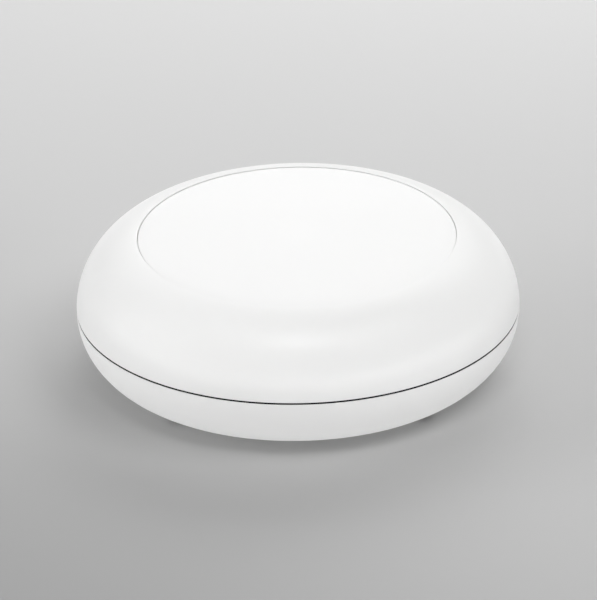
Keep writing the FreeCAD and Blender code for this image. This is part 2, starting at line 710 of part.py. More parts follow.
def make_chips():
    """Flat black packages on the board."""
    low = deck()
    add_feature("processor", slab((8.0, 6.0), (17.0, 17.0, 1.6), low))
    add_group("memory_chips", [slab((4.0, -12.0), (13.0, 9.0, 1.1), low),
                               slab((4.0, -23.0), (13.0, 9.0, 1.1), low)])
    add_feature("flash_chip", slab((-2.0, 36.0), (8.0, 6.0, 1.0), low))
    add_group("radio_chips", [slab(spot, (9.0, 9.0, 0.9), low) for spot in CANS])
    cans = [slab((22.0, 36.5), (3.2, 5.0, 1.2), low), slab((-40.0, 30.0), (5.0, 3.2, 1.2), low)]
    add_group("crystals", cans)
    chips = []
    for index in range(9):
        spot = polar(53.5, 8.0 + 7.0 * index)
        if abs(8.0 + 7.0 * index - 45.0) > 8.0:
            chips.append(slab((spot.x, spot.y), (1.6, 0.8, 0.8), low))
    for index in range(6):
        chips.append(slab((-12.0 + 3.0 * index, -37.0), (0.8, 1.6, 0.8), low))
        chips.append(slab((-16.0 + 3.0 * index, 42.0), (0.8, 1.6, 0.8), low))
    add_group("chip_capacitors", chips)


def make_shields():
    """Two tin cans over the radios: a soldered frame and a snap-on lid each."""
    low = deck()
    frames = []
    lids = []
    for x, y in CANS:
        outer = slab((x, y), (CAN_SIZE[0], CAN_SIZE[1], 2.4), low)
        inner = slab((x, y), (CAN_SIZE[0] - 0.4, CAN_SIZE[1] - 0.4, 4.0), low - 1.0)
        frames.append(outer.cut(inner))
        cap = slab((x, y), (CAN_SIZE[0] + 0.5, CAN_SIZE[1] + 0.5, 2.4), low + 0.5)
        hollow = slab((x, y), (CAN_SIZE[0] + 0.04, CAN_SIZE[1] + 0.04, 1.9), low + 0.5)
        lids.append(cap.cut(hollow))
    add_group("shield_frames", frames)
    add_group("shield_lids", lids)


def make_power_parts():
    """Taller parts of the power and network circuits."""
    low = deck()
    winding = slab((36.0, 0.0), (11.5, 12.0, 9.0), low)
    notch = [block((29.0, 32.2), (-4.0, 4.0), (low + 2.0, low + 7.0)),
             block((39.8, 43.0), (-4.0, 4.0), (low + 2.0, low + 7.0))]
    add_feature("poe_transformer", winding.cut(notch))
    coils = []
    for spot in ((27.0, -14.0), (27.0, 12.0), (12.0, -40.0)):
        coil = slab(spot, (7.0, 7.0, 4.0), low)
        uprights = [edge for edge in coil.Edges if edge.BoundBox.ZLength > 1.0]
        coils.append(coil.makeFillet(1.6, uprights))
    add_group("power_inductors", coils)
    add_group("ethernet_magnetics", [slab((30.0, -24.0), (15.0, 8.0, 5.5), low),
                                     slab((30.0, 23.0), (15.0, 8.0, 5.5), low)])
    cans = []
    for spot in ((42.0, 13.5), (42.0, -13.5)):
        can = rod(4.0, low, low + 10.0, spot)
        top = [edge for edge in can.Edges if edge.BoundBox.ZMin > low + 5.0
               and len(edge.Vertexes) == 1]
        cans.append(can.makeFillet(0.6, top))
    add_group("bulk_capacitors", cans)
    bar = slab((-24.0, 44.0), (2.5, 10.2, 2.5), low)
    pins = [slab((-24.0, 40.2 + 2.54 * index), (0.64, 0.64, 8.0), low) for index in range(4)]
    holes = [slab((-24.0, 40.2 + 2.54 * index), (0.64, 0.64, 4.0), low) for index in range(4)]
    add_feature("debug_header", bar.cut(holes))
    add_group("header_pins", pins)


LIGHT_AT = (30.0, -38.0)


def make_light():
    """Status light on the board and the clear rod that carries it up to the disc."""
    low = deck()
    add_feature("status_led", slab(LIGHT_AT, (3.0, 2.0, 0.9), low))
    pipe = rod(1.6, low + 1.1, 48.9, LIGHT_AT)
    collar = rod(2.4, dim("plate_height") - 1.2, dim("plate_height"), LIGHT_AT)
    add_feature("light_pipe", joined(pipe, [collar]))


def make_heat_sink():
    """Cast aluminium spreader over the processor and radios, with straight fins."""
    low = 27.1
    plate = block((-37.0, 22.0), (-32.0, 28.0), (low, low + 2.0))
    foot = slab((8.0, 6.0), (17.0, 17.0, low - deck() - 2.6), deck() + 2.6)
    fins = [block((-35.0, 20.0), (y, y + 1.2), (low + 1.9, low + 7.5))
            for y in [-25.6 + 5.0 * index for index in range(10)]]
    sink = joined(plate, [foot] + fins)
    holes = [rod(1.25, low - 5.0, low + 12.0, spot) for spot in SINK_FIXINGS]
    clear = [rod(2.6, low + 2.0, low + 12.0, spot) for spot in SINK_FIXINGS]
    add_feature("heat_sink", sink.cut(holes + clear))
    pads = [slab((8.0, 6.0), (16.0, 16.0, 1.0), deck() + 1.6)]
    pads += [slab(spot, (18.0, 16.0, low - deck() - 2.9), deck() + 2.9) for spot in CANS]
    add_group("thermal_pads", pads)
    screws = []
    for spot in SINK_FIXINGS:
        head = rod(2.1, low + 2.0, low + 3.4, spot)
        screws.append(joined(head, [rod(1.0, dim("board_height") - 1.5, low + 2.1, spot)]))
    add_group("sink_screws", screws)


def make_fixings():
    """Brass inserts in the bosses, hexagon standoffs above the board, screws on the plate."""
    board = dim("board_height")
    plate = dim("plate_height")
    inserts = []
    standoffs = []
    screws = []
    for angle in QUARTERS:
        centre = polar(dim("standoff_circle"), angle)
        at = (centre.x, centre.y)
        inserts.append(tube(2.1, 1.3, board - 6.5, board, at))
        corners = [Vector(at[0], at[1], deck()) + polar(3.1, 60.0 * side) for side in range(7)]
        hexagon = Part.Face(Part.makePolygon(corners)).extrude(Vector(0, 0, plate - deck()))
        hexagon = hexagon.cut(rod(1.3, plate - 8.0, plate + 1.0, at))
        standoffs.append(joined(hexagon, [rod(1.25, board - 6.0, deck() + 0.1, at)]))
        head = rod(2.3, plate + dim("plate_thick"), plate + dim("plate_thick") + 1.6, at)
        drive = slab(at, (2.4, 0.6, 1.0), plate + dim("plate_thick") + 0.9)
        shank = rod(1.25, plate - 6.0, plate + dim("plate_thick") + 0.1, at)
        screws.append(joined(head.cut(drive), [shank]))
    add_group("brass_inserts", inserts)
    add_group("board_standoffs", standoffs)
    add_group("plate_screws", screws)


# --------------------------------------------------------------------------- antennas

def make_antenna_plate():
    """Aluminium ground plate on the standoffs, with holes for the leads and the light pipe."""
    fixing = "Dims.standoff_circle * %r" % (1.0 / math.sqrt(2.0))
    holes = [("1.5", "%s * %d" % (fixing, sx), "%s * %d" % (fixing, sy))
             for sx in (-1, 1) for sy in (-1, 1)]
    for side in SIDES:
        lead = turned_point(LEAD_AT, side)
        holes.append(("2.0", repr(lead[0]), repr(lead[1])))
    holes.append(("1.8", repr(LIGHT_AT[0]), repr(LIGHT_AT[1])))
    round_plate("antenna_plate", "Dims.plate_radius", "Dims.plate_height", "Dims.plate_thick",
                holes)


LEAD_AT = (48.5, 1.0)


def turned_point(point, degrees):
    """Point in plan turned about the Z axis."""
    spot = Vector(point[0], point[1], 0.0)
    length = math.hypot(spot.x, spot.y)
    there = polar(length, math.degrees(math.atan2(spot.y, spot.x)) + degrees)
    return (round(there.x, 6), round(there.y, 6))


def folded_antenna(length, width, low, high):
    """Sheet-metal inverted F: top strip, shorting leg with a foot, and a feed strip."""
    thick = 0.5
    inner = 46.0 - width
    strip = block((inner, 46.0), (-length / 2.0, length / 2.0), (high - thick, high))
    leg = block((inner, 46.0), (-length / 2.0, -length / 2.0 + thick), (low, high))
    foot = block((inner, 46.0), (-length / 2.0, -length / 2.0 + 3.0), (low, low + thick))
    feed = block((46.0 - thick, 46.0), (0.0, 2.0), (low + 2.0, high))
    return joined(strip, [leg, foot, feed])


def make_antennas():
    """Two pairs of folded antennas with plastic supports, leads and board plugs."""
    low = dim("plate_height") + dim("plate_thick")
    high = 44.4
    long_ones = folded_antenna(32.0, 9.0, low, high)
    short_ones = folded_antenna(17.0, 6.0, low, high)
    add_group("antennas_24ghz", [turned(long_ones, 0.0), turned(long_ones, 180.0)])
    add_group("antennas_5ghz", [turned(short_ones, 90.0), turned(short_ones, 270.0)])
    rest_long = block((39.0, 43.0), (10.5, 14.0), (low, high - 0.5))
    rest_short = block((41.0, 44.0), (4.5, 8.0), (low, high - 0.5))
    add_group("antenna_supports", [turned(rest_long, 0.0), turned(rest_long, 180.0),
                                   turned(rest_short, 90.0), turned(rest_short, 270.0)])
    leads = []
    plugs = []
    for side in SIDES:
        leads.append(turned(make_lead(low), side))
        plug = rod(1.4, deck(), deck() + 1.3, LEAD_AT)
        plugs.append(turned(plug, side))
    add_group("coax_leads", leads)
    add_group("coax_plugs", plugs)


def make_lead(low):
    """Thin coaxial lead: straight up from its plug, a round bend, then level to the feed strip."""
    x, y = LEAD_AT
    bend = 1.8
    level = low + 3.4
    foot = Vector(x, y, deck() + 1.3)
    neck = Vector(x, y, level - bend)
    crown = Vector(x - bend, y, level)
    slack = bend * (1.0 - math.sqrt(0.5))
    turn = Part.Arc(neck, Vector(x - slack, y, level - slack), crown).toShape()
    path = [Part.makeLine(foot, neck), turn, Part.makeLine(crown, Vector(46.0, y, level))]
    return wire_sweep(path, 0.6)


# --------------------------------------------------------------------------- build and write

make_ceiling_bracket()
make_top_cover()
make_front_disc()
make_base_shell()
make_seam_gasket()
make_case_screws()
make_bayonet_studs()
make_detent()
make_reset()
make_rating_label()
make_network_jack("poe", -dim("jack_pitch") / 2.0)
make_network_jack("lan", dim("jack_pitch") / 2.0)
make_dc_jack()
make_main_board()
make_chips()
make_shields()
make_power_parts()
make_light()
make_heat_sink()
make_fixings()
make_antenna_plate()
make_antennas()

doc.recompute()

for item in doc.Objects:
    bad = [word for word in item.State if word in ("Invalid", "Error")]
    assert not bad, "%s is %s" % (item.Label, bad)

os.makedirs("parts", exist_ok=True)
for item in parts:
    shape = item.Shape
    assert not shape.isNull(), item.Label + " is empty"
    assert shape.isValid(), item.Label + " is not a valid shape"
    assert shape.Solids, item.Label + " has no solid"
    shape.exportStep("parts/%s.step" % item.Label)
    print("%-20s solids %2d  volume %9.1f" % (item.Label, len(shape.Solids), shape.Volume))
print("nodes", len(parts))
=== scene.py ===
"""Ceiling access point lying on its back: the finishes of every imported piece, the smooth casing
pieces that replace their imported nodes, and the pale studio they are seen in.  Metres throughout."""
import bpy
import math
import numpy as np
from mathutils import Matrix, Vector


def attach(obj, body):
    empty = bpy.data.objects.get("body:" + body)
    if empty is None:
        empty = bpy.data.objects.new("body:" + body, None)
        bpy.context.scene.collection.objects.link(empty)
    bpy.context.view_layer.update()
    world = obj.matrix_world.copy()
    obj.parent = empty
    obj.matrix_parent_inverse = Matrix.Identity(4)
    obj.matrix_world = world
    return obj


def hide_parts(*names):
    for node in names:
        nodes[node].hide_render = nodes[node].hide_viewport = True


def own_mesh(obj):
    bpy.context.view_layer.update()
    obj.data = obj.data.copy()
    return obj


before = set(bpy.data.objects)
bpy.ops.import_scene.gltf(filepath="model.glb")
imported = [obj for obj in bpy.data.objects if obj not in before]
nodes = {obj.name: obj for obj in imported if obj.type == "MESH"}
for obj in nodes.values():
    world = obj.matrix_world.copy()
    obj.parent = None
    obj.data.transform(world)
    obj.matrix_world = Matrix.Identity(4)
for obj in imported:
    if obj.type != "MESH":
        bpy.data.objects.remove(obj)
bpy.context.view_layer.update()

# ---------------------------------------------------------------------------------------------
# Top cover: the white ring shell that makes the shoulder and flank, injection moulded in an
# ABS blend with a very fine spark-eroded grain.  Four hollow posts with ribs stand inside it
# and take the screws that come up through the base.

SEAM_HEIGHT = 0.024
SEAM_GAP = 0.0007
WALL = 0.0025
FLANK_CENTRE, FLANK_RADIUS = (0.051, SEAM_HEIGHT), 0.029
FLANK_ANGLE = math.radians(57.5)
CROWN_RADIUS = 0.0205
CROWN_CENTRE = (FLANK_CENTRE[0] + (FLANK_RADIUS - CROWN_RADIUS) * math.cos(FLANK_ANGLE),
                FLANK_CENTRE[1] + (FLANK_RADIUS - CROWN_RADIUS) * math.sin(FLANK_ANGLE))
RIM_RADIUS = 0.0576
LEDGE_HEIGHT = 0.049
LEDGE_BORE, LEDGE_THICKNESS = 0.052, 0.0021
NECK_WALL = 0.0022
COVER_FOOT_ROUND, COVER_LIP_ROUND = 0.00010, 0.00024
AROUND = 384
POST_ANGLES = (45.0, 135.0, 225.0, 315.0)
POST_CIRCLE, POST_TOP = 0.062, 0.0482
POST_RADIUS, POST_BORE = 0.0038, 0.0013
RIB_NEAR, RIB_FAR = 0.0645, 0.0745
RIB_FOOT, RIB_TOP_NEAR, RIB_TOP_FAR = 0.0325, 0.0455, 0.0340
GRAIN_RELIEF = 0.00004


def arc_points(centre, radius, first, last, count):
    """Points of an arc: centre plus radius times (cos, sin) of evenly spaced angles."""
    angle = np.linspace(first, last, count)
    return np.stack([centre[0] + radius * np.cos(angle), centre[1] + radius * np.sin(angle)], 1)


def grid_mesh(name, rows, columns, points, close_rows=False, close_columns=True):
    """Mesh over a grid of points indexed [row, column]; each quad joins neighbours, and the last
    row or column joins the first where it is closed."""
    row = np.arange(rows if close_rows else rows - 1)
    column = np.arange(columns if close_columns else columns - 1)
    r, c = np.meshgrid(row, column, indexing="ij")
    r2, c2 = (r + 1) % rows, (c + 1) % columns
    quads = np.stack([r * columns + c, r * columns + c2, r2 * columns + c2, r2 * columns + c], -1)
    quads = quads.reshape(-1, 4)
    mesh = bpy.data.meshes.new(name)
    mesh.from_pydata(points.reshape(-1, 3).tolist(), [], quads.tolist())
    mesh.update()
    return mesh


def turned_mesh(name, profile, around=AROUND, centre=(0.0, 0.0)):
    """Closed profile of (r, z) points carried once round an upright axis: x = r cos t,
    y = r sin t, z = z.  The profile runs so that the faces point outwards."""
    profile = np.asarray(profile)
    turn = np.linspace(0.0, 2.0 * math.pi, around, endpoint=False)
    x = centre[0] + profile[:, :1] * np.cos(turn)[None, :]
    y = centre[1] + profile[:, :1] * np.sin(turn)[None, :]
    z = np.repeat(profile[:, 1:], around, axis=1)
    return grid_mesh(name, len(profile), around, np.stack([x, y, z], -1), close_rows=True)


def smoothed(mesh, limit=math.radians(28.0)):
    """Smooth shading with edges sharper than the limit kept crisp."""
    mesh.shade_smooth()
    mesh.set_sharp_from_angle(angle=limit)
    return mesh


def merged(name, meshes):
    """One mesh out of several closed shells."""
    points, faces, start = [], [], 0
    for mesh in meshes:
        place = np.zeros(len(mesh.vertices) * 3)
        mesh.vertices.foreach_get("co", place)
        points += place.reshape(-1, 3).tolist()
        faces += [[start + index for index in face.vertices] for face in mesh.polygons]
        start += len(mesh.vertices)
    whole = bpy.data.meshes.new(name)
    whole.from_pydata(points, [], faces)
    whole.update()
    return smoothed(whole)


def place_piece(name, mesh, body, node, material):
    """Put a finished piece in the scene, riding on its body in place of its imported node."""
    piece = bpy.data.objects.new(name, mesh)
    bpy.context.scene.collection.objects.link(piece)
    mesh.materials.append(material)
    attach(piece, body)
    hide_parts(node)
    return piece


def rounded_corner(corner, before, after, radius, count=6):
    """Points of a small round between two profile edges that meet in a right angle or near it:
    a quadratic curve from the edge before to the edge after, with the corner as its handle."""
    corner, before, after = (np.asarray(p, float) for p in (corner, before, after))
    start = corner + (before - corner) / np.linalg.norm(before - corner) * radius
    end = corner + (after - corner) / np.linalg.norm(after - corner) * radius
    t = np.linspace(0.0, 1.0, count)[:, None]
    return (1 - t) ** 2 * start + 2 * t * (1 - t) * corner + t ** 2 * end


def cover_profile():
    """Section of the ring shell, from the seam up the outside, over the shoulder, down the rim
    to the ledge, and back down the inside."""
    low = SEAM_HEIGHT + SEAM_GAP / 2
    rise = math.asin(SEAM_GAP / 2 / FLANK_RADIUS)
    rim_angle = math.acos((RIM_RADIUS - CROWN_CENTRE[0]) / CROWN_RADIUS)
    flank = arc_points(FLANK_CENTRE, FLANK_RADIUS, rise, FLANK_ANGLE, 40)
    crown = arc_points(CROWN_CENTRE, CROWN_RADIUS, FLANK_ANGLE, rim_angle, 26)[1:]
    rim_top = crown[-1]
    bottom = flank[0]
    inner_low = (FLANK_CENTRE[0] + FLANK_RADIUS - WALL, low)
    foot = rounded_corner(bottom, inner_low, flank[1], COVER_FOOT_ROUND, 4)
    lip = rounded_corner(rim_top, crown[-3], (RIM_RADIUS, LEDGE_HEIGHT), COVER_LIP_ROUND, 7)
    neck = RIM_RADIUS + NECK_WALL
    under = LEDGE_HEIGHT - LEDGE_THICKNESS
    inner_crown = CROWN_RADIUS - WALL
    neck_angle = math.acos((neck - CROWN_CENTRE[0]) / inner_crown)
    inside_top = arc_points(CROWN_CENTRE, inner_crown, neck_angle, FLANK_ANGLE, 16)
    inner_rise = math.asin(SEAM_GAP / 2 / (FLANK_RADIUS - WALL))
    inside = arc_points(FLANK_CENTRE, FLANK_RADIUS - WALL, FLANK_ANGLE, inner_rise, 26)[1:]
    steps = [foot, flank[1:], crown[:-1], lip,
             [(RIM_RADIUS, LEDGE_HEIGHT), (LEDGE_BORE, LEDGE_HEIGHT), (LEDGE_BORE, under),
              (neck, under)], inside_top, inside]
    return np.concatenate([np.asarray(step, float) for step in steps])


def screw_post(circle, degrees, low, high, outer, inner):
    """Tube on a circle round the middle of the casing."""
    angle = math.radians(degrees)
    centre = (circle * math.cos(angle), circle * math.sin(angle))
    section = [(outer, low), (outer, high), (inner, high), (inner, low)]
    return turned_mesh("post", section, 48, centre)


def upright_rib(degrees, near, far, low, high_near, high_far, thickness=0.0016):
    """Flat rib that points away from the middle: eight corners turned to its angle, its top
    sloping from one height to the other."""
    side = thickness / 2
    corners = np.array([(near, -side, low), (far, -side, low), (far, side, low), (near, side, low),
                        (near, -side, high_near), (far, -side, high_far),
                        (far, side, high_far), (near, side, high_near)])
    angle = math.radians(degrees)
    turn = np.array([(math.cos(angle), math.sin(angle), 0.0),
                     (-math.sin(angle), math.cos(angle), 0.0), (0.0, 0.0, 1.0)])
    mesh = bpy.data.meshes.new("rib")
    faces = [(0, 3, 2, 1), (4, 5, 6, 7), (0, 1, 5, 4), (1, 2, 6, 5), (2, 3, 7, 6), (3, 0, 4, 7)]
    mesh.from_pydata((corners @ turn).tolist(), [], faces)
    mesh.update()
    return mesh


def shader_group(name, inputs, outputs):
    """Empty shader node group with named sockets.  Returns it with its two end nodes."""
    group = bpy.data.node_groups.new(name, "ShaderNodeTree")
    kinds = {"value": "NodeSocketFloat", "colour": "NodeSocketColor", "vector": "NodeSocketVector"}
    for label, kind, start in inputs:
        socket = group.interface.new_socket(label, in_out="INPUT", socket_type=kinds[kind])
        socket.default_value = start
    for label, kind in outputs:
        group.interface.new_socket(label, in_out="OUTPUT", socket_type=kinds[kind])
    return group, group.nodes.new("NodeGroupInput"), group.nodes.new("NodeGroupOutput")


def noise_node(tree, scale, detail=2.0, roughness=0.5, stretch=None):
    """Noise on object coordinates, in cycles per metre, optionally stretched along an axis.
    Returns the node."""
    place = tree.nodes.new("ShaderNodeTexCoord")
    source = place.outputs["Object"]
    if stretch is not None:
        turn = tree.nodes.new("ShaderNodeMapping")
        turn.inputs["Scale"].default_value = stretch
        tree.links.new(source, turn.inputs["Vector"])
        source = turn.outputs["Vector"]
    noise = tree.nodes.new("ShaderNodeTexNoise")
    noise.inputs["Detail"].default_value = detail
    noise.inputs["Roughness"].default_value = roughness
    if isinstance(scale, (int, float)):
        noise.inputs["Scale"].default_value = scale
    else:
        tree.links.new(scale, noise.inputs["Scale"])
    tree.links.new(source, noise.inputs["Vector"])
    return noise


def math_node(tree, operation, first, second=0.0):
    """Math node of two inputs, each a socket or a number.  Returns its result."""
    node = tree.nodes.new("ShaderNodeMath")
    node.operation = operation
    for socket, value in zip(node.inputs, (first, second)):
        if isinstance(value, (int, float)):
            socket.default_value = value
        else:
            tree.links.new(value, socket)
    return node.outputs["Value"]


def tinted(tree, colour, factor):
    """Colour times a varying factor."""
    scale = tree.nodes.new("ShaderNodeVectorMath")
    scale.operation = "SCALE"
    tree.links.new(colour, scale.inputs[0])
    tree.links.new(factor, scale.inputs["Scale"])
    return scale.outputs["Vector"]


def moulded_grain():
    """Group for moulded plastic and rubber: a fine grain in the surface, a slow drift in tone
    and in gloss where the melt flowed."""
    group, start, end = shader_group(
        "moulded_grain",
        [("Tone", "colour", (0.8, 0.8, 0.8, 1.0)), ("Tone spread", "value", 0.02),
         ("Gloss", "value", 0.4), ("Gloss spread", "value", 0.1),
         ("Grain scale", "value", 4000.0), ("Grain depth", "value", 0.05)],
        [("Colour", "colour"), ("Roughness", "value"), ("Normal", "vector")])
    drift = noise_node(group, 28.0, 3.0).outputs["Fac"]
    grain = noise_node(group, start.outputs["Grain scale"], 2.0).outputs["Fac"]
    swing = math_node(group, "SUBTRACT", drift, 0.5)
    tone = math_node(group, "ADD", math_node(group, "MULTIPLY", swing,
                                             start.outputs["Tone spread"]), 1.0)
    group.links.new(tinted(group, start.outputs["Tone"], tone), end.inputs["Colour"])
    gloss = math_node(group, "MULTIPLY", math_node(group, "SUBTRACT", grain, 0.5),
                      start.outputs["Gloss spread"])
    group.links.new(math_node(group, "ADD", gloss, start.outputs["Gloss"]),
                    end.inputs["Roughness"])
    bump = group.nodes.new("ShaderNodeBump")
    bump.inputs["Distance"].default_value = GRAIN_RELIEF
    group.links.new(start.outputs["Grain depth"], bump.inputs["Strength"])
    group.links.new(grain, bump.inputs["Height"])
    group.links.new(bump.outputs["Normal"], end.inputs["Normal"])
    return group


def new_material(name, specular=0.5, metallic=0.0):
    """Material with one Principled shader.  Returns the material, its tree and the shader."""
    material = bpy.data.materials.new(name)
    material.use_nodes = True
    tree = material.node_tree
    shader = tree.nodes["Principled BSDF"]
    shader.inputs["Specular IOR Level"].default_value = specular
    shader.inputs["Metallic"].default_value = metallic
    return material, tree, shader


def group_material(name, group, values, specular=0.5, metallic=0.0):
    """Material whose colour, gloss and surface come from a group with the given values."""
    material, tree, shader = new_material(name, specular, metallic)
    node = tree.nodes.new("ShaderNodeGroup")
    node.node_tree = group
    for label, value in values.items():
        node.inputs[label].default_value = value
    tree.links.new(node.outputs["Colour"], shader.inputs["Base Color"])
    tree.links.new(node.outputs["Roughness"], shader.inputs["Roughness"])
    tree.links.new(node.outputs["Normal"], shader.inputs["Normal"])
    return material


GRAIN = moulded_grain()
satin_white = group_material("satin_white_casing", GRAIN, {
    "Tone": (0.79, 0.79, 0.787, 1.0), "Tone spread": 0.012, "Gloss": 0.33, "Gloss spread": 0.10,
    "Grain scale": 5200.0, "Grain depth": 0.08})

cover_shells = [turned_mesh("ring", cover_profile())]
for quarter in POST_ANGLES:
    cover_shells.append(screw_post(POST_CIRCLE, quarter, SEAM_HEIGHT + SEAM_GAP / 2, POST_TOP,
                                   POST_RADIUS, POST_BORE))
    cover_shells.append(upright_rib(quarter, RIB_NEAR, RIB_FAR, RIB_FOOT, RIB_TOP_NEAR,
                                    RIB_TOP_FAR))
place_piece("ring_cover", merged("ring_cover", cover_shells), "housing", "top_cover",
            satin_white)

# ---------------------------------------------------------------------------------------------
# Front disc: a separate white cap, crowned by 2.4 mm, that drops on the cover's ledge and is
# held by six hooks moulded below it.  Its edge is rounded and leaves a fine gap in the rim, with
# a step for its floor that centres the cap in the bore.

DISC_RADIUS, STEP_RADIUS = 0.05742, 0.0575
DISC_EDGE, DISC_CREST, DISC_WALL = 0.0512, 0.0536, 0.0022
STEP_HEIGHT = 0.05085
EDGE_ROUND = 0.00022
SEAT_INSET = 0.0008
AXIS_GAP = 0.00002
HOOK_HALF_WIDTH, HOOK_FIRST, HOOK_STEP, HOOK_COUNT = 0.0035, 15.0, 60.0, 6


def disc_profile():
    """Section of the cap from the middle of its dome, out over the rounded edge, down to the
    seat and back under.  The dome is a circle's arc through the crest and the edge."""
    rise = DISC_CREST - DISC_EDGE
    ball = (DISC_RADIUS ** 2 + rise ** 2) / (2 * rise)
    middle = DISC_CREST - ball
    out = np.linspace(AXIS_GAP, DISC_RADIUS, 70)
    dome = np.stack([out, middle + np.sqrt(ball ** 2 - out ** 2)], 1)
    edge = rounded_corner(dome[-1], dome[-3], (DISC_RADIUS, LEDGE_HEIGHT), EDGE_ROUND, 7)
    back = np.linspace(LEDGE_BORE - SEAT_INSET, AXIS_GAP, 20)
    under = np.stack([back, middle + np.sqrt((ball - DISC_WALL) ** 2 - back ** 2)], 1)
    seat = [(DISC_RADIUS, STEP_HEIGHT), (STEP_RADIUS, STEP_HEIGHT), (STEP_RADIUS, LEDGE_HEIGHT),
            (LEDGE_BORE - SEAT_INSET, LEDGE_HEIGHT)]
    return np.concatenate([dome[:-1], edge, seat, under])[::-1]


def snap_hook(degrees):
    """Hook below the cap: a side profile of arm and barb, carried along the tangent."""
    side = np.array([(0.0496, 0.0500), (0.0496, 0.0453), (0.0511, 0.0453), (0.0531, 0.0466),
                     (0.0511, 0.0466), (0.0511, 0.0500)])
    angle = math.radians(degrees)
    across = np.array([-HOOK_HALF_WIDTH, HOOK_HALF_WIDTH])
    x = side[:, 0][:, None] * math.cos(angle) - across[None, :] * math.sin(angle)
    y = side[:, 0][:, None] * math.sin(angle) + across[None, :] * math.cos(angle)
    z = np.repeat(side[:, 1:], 2, axis=1)
    points = np.stack([x, y, z], -1).reshape(-1, 3)
    count = len(side)
    faces = [(2 * i, 2 * i + 1, 2 * ((i + 1) % count) + 1, 2 * ((i + 1) % count))
             for i in range(count)]
    faces += [tuple(range(0, 2 * count, 2))[::-1], tuple(range(1, 2 * count, 2))]
    mesh = bpy.data.meshes.new("hook")
    mesh.from_pydata(points.tolist(), [], faces)
    mesh.update()
    return mesh


disc_shells = [turned_mesh("cap", disc_profile())]
disc_shells += [snap_hook(HOOK_FIRST + HOOK_STEP * n) for n in range(HOOK_COUNT)]
# Painted shade: the cap is moulded in the cover's resin, but its tone is set a little darker than the
# cover's to hold down the light falling on its top.
disc_white_painted_shade = group_material("satin_white_disc_painted_shade", GRAIN, {
    "Tone": (0.785, 0.785, 0.783, 1.0), "Tone spread": 0.010, "Gloss": 0.40, "Gloss spread": 0.10,
    "Grain scale": 5600.0, "Grain depth": 0.08}, specular=0.45)
place_piece("domed_disc", merged("domed_disc", disc_shells), "housing", "front_disc",
            disc_white_painted_shade)

# ---------------------------------------------------------------------------------------------
# Lower shell: the white belly with the bracket recess and the cable bay in its back, moulded
# in the same resin as the cover.  Screws pull it up to the cover's posts.


def finish_node(material, *names):
    """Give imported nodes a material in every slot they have."""
    for name in names:
        for entry in nodes[name].material_slots:
            entry.material = material


belly_white = group_material("satin_white_belly", GRAIN, {
    "Tone": (0.80, 0.80, 0.797, 1.0), "Tone spread": 0.014, "Gloss": 0.43, "Gloss spread": 0.12,
    "Grain scale": 5200.0, "Grain depth": 0.12}, specular=0.45)
finish_node(belly_white, "base_shell")

# ---------------------------------------------------------------------------------------------
# Seam gasket: an extruded rubber ring pinched between the shells, just below their skin, which
# reads from outside as the dark line round the casing.

gasket_rubber = group_material("gasket_rubber", GRAIN, {
    "Tone": (0.012, 0.012, 0.013, 1.0), "Tone spread": 0.30, "Gloss": 0.90, "Gloss spread": 0.15,
    "Grain scale": 3000.0, "Grain depth": 0.3}, specular=0.05)
finish_node(gasket_rubber, "seam_gasket")

# ---------------------------------------------------------------------------------------------
# Ceiling bracket: a pale grey moulded disc that the installer screws to the ceiling.  Its keyhole
# arcs take the studs, and its coarse grain hides scuffs.

bracket_grey = group_material("bracket_grey", GRAIN, {
    "Tone": (0.56, 0.56, 0.55, 1.0), "Tone spread": 0.05, "Gloss": 0.52, "Gloss spread": 0.18,
    "Grain scale": 2200.0, "Grain depth": 0.35}, specular=0.4)
finish_node(bracket_grey, "ceiling_bracket")

# ---------------------------------------------------------------------------------------------
# Studs, nuts and screws: turned and cold-formed steel with a thin zinc plate, finely marked by
# the tool.

MARK_RELIEF = 0.00003


def brushed_sheet():
    """Group for metal: fine marks stretched along one axis, a drift in tone, and duller patches
    where it has been handled."""
    group, start, end = shader_group(
        "brushed_sheet",
        [("Tone", "colour", (0.7, 0.7, 0.7, 1.0)), ("Tone spread", "value", 0.08),
         ("Gloss", "value", 0.3), ("Gloss spread", "value", 0.15),
         ("Mark scale", "value", 900.0), ("Mark depth", "value", 0.15),
         ("Handling", "value", 0.1)],
        [("Colour", "colour"), ("Roughness", "value"), ("Normal", "vector")])
    marks = noise_node(group, start.outputs["Mark scale"], 3.0, 0.6, (0.06, 1.0, 1.0))
    marks = marks.outputs["Fac"]
    drift = noise_node(group, 90.0, 2.0).outputs["Fac"]
    swing = math_node(group, "SUBTRACT", math_node(group, "ADD", math_node(
        group, "MULTIPLY", marks, 0.6), math_node(group, "MULTIPLY", drift, 0.4)), 0.5)
    tone = math_node(group, "ADD", math_node(group, "MULTIPLY", swing,
                                             start.outputs["Tone spread"]), 1.0)
    group.links.new(tinted(group, start.outputs["Tone"], tone), end.inputs["Colour"])
    gloss = math_node(group, "MULTIPLY", swing, start.outputs["Gloss spread"])
    patches = math_node(group, "MULTIPLY", drift, start.outputs["Handling"])
    gloss = math_node(group, "ADD", math_node(group, "ADD", gloss, start.outputs["Gloss"]), patches)
    group.links.new(gloss, end.inputs["Roughness"])
    bump = group.nodes.new("ShaderNodeBump")
    bump.inputs["Distance"].default_value = MARK_RELIEF
    group.links.new(start.outputs["Mark depth"], bump.inputs["Strength"])
    group.links.new(marks, bump.inputs["Height"])
    group.links.new(bump.outputs["Normal"], end.inputs["Normal"])
    return group


METAL = brushed_sheet()
zinc_plate = group_material("zinc_plated_steel", METAL, {
    "Tone": (0.62, 0.63, 0.64, 1.0), "Tone spread": 0.16, "Gloss": 0.28, "Gloss spread": 0.20,
    "Mark scale": 2600.0, "Mark depth": 0.25, "Handling": 0.12}, metallic=1.0)
finish_node(zinc_plate, "bayonet_studs", "stud_nuts", "case_screws", "plate_screws", "sink_screws")

